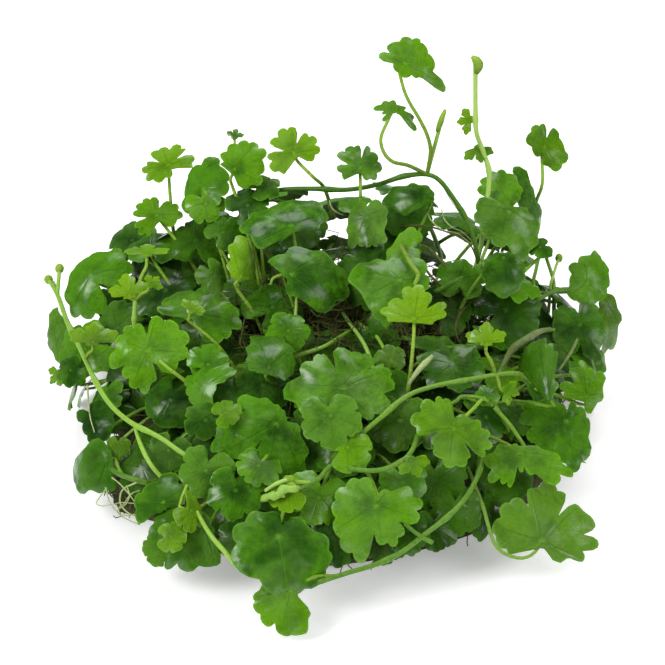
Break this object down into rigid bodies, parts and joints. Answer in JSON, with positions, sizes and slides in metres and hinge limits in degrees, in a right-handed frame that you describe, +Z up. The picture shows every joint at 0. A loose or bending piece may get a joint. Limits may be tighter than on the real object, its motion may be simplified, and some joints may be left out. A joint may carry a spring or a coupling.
{
  "type": "pennywort plant",
  "caption": "Loose clump of pennywort with no pot: lobed and crenate green leaves on thin stalks and creeping runners, growing from a low round mat of tangled brown roots that rests on a flat surface.",
  "frame": {"origin": "centre of the root mat's flat underside, on the surface it rests on", "axes": "+Z up, away from the surface; -Y towards the side that the picture shows; +X to that side's right"},
  "size_m": [0.1172, 0.1202, 0.0688],
  "materials": {
    "leaf_young": "satin, bright yellow-green, slightly wet",
    "leaf_grown": "satin, mid green, slightly wet",
    "leaf_old": "glossy, dark green",
    "leaf_pale": "satin, grey-green sheen",
    "stem": "satin, pale green, a little translucent",
    "roots": "matte, olive-brown fibres"
  },
  "bodies": {
    "root": {"leaf_centre_large": "leaf_grown", "leaf_centre_low": "leaf_grown", "leaf_centre_round": "leaf_old", "leaf_centre_shade": "leaf_pale", "leaf_centre_wide": "leaf_grown", "leaf_crown_bright": "leaf_young", "leaf_crown_dome": "leaf_old", "leaf_crown_hood": "leaf_young", "leaf_crown_kidney": "leaf_grown", "leaf_crown_rolled": "leaf_pale", "leaf_crown_shade": "leaf_grown", "leaf_front_bright": "leaf_young", "leaf_front_large": "leaf_grown", "leaf_left_arch": "leaf_old", "leaf_left_bottom": "leaf_old", "leaf_left_curled": "leaf_young", "leaf_left_dark": "leaf_old", "leaf_left_edge": "leaf_pale", "leaf_left_glossy": "leaf_pale", "leaf_left_inner": "leaf_grown", "leaf_left_large": "leaf_grown", "leaf_left_lobed": "leaf_grown", "leaf_left_round": "leaf_old", "leaf_left_wide": "leaf_grown", "leaf_right_arch": "leaf_young", "leaf_right_cut": "leaf_young", "leaf_right_dark": "leaf_old", "leaf_right_deep": "leaf_old", "leaf_right_floor": "leaf_pale", "leaf_right_folded": "leaf_pale", "leaf_right_hanging": "leaf_pale", "leaf_right_large": "leaf_grown", "leaf_right_shelf": "leaf_grown", "leaf_right_top": "leaf_grown", "leaf_right_young": "leaf_young", "leaf_shoulder_grey": "leaf_pale", "leaf_shoulder_round": "leaf_old", "leaf_top_bright": "leaf_young", "leaf_top_creased": "leaf_old", "leaf_top_crenate": "leaf_young", "leaf_top_left": "leaf_young", "leaf_top_long": "leaf_old", "leaf_top_low": "leaf_young", "leaf_top_middle": "leaf_grown", "leaf_top_right": "leaf_young", "leaf_top_sheen": "leaf_grown", "leaf_top_shelf": "leaf_grown", "leaf_top_wet": "leaf_pale", "root_mat": "roots", "runner_front": "stem", "runner_left": "stem", "runner_middle": "stem", "runner_right": "stem", "runner_top": "stem", "shoot_back_left": "stem", "shoot_back_middle_left": "stem", "shoot_back_middle_right": "stem", "shoot_back_right": "stem", "shoot_left": "stem", "shoot_tall": "stem"}
  },
  "joints": []
}
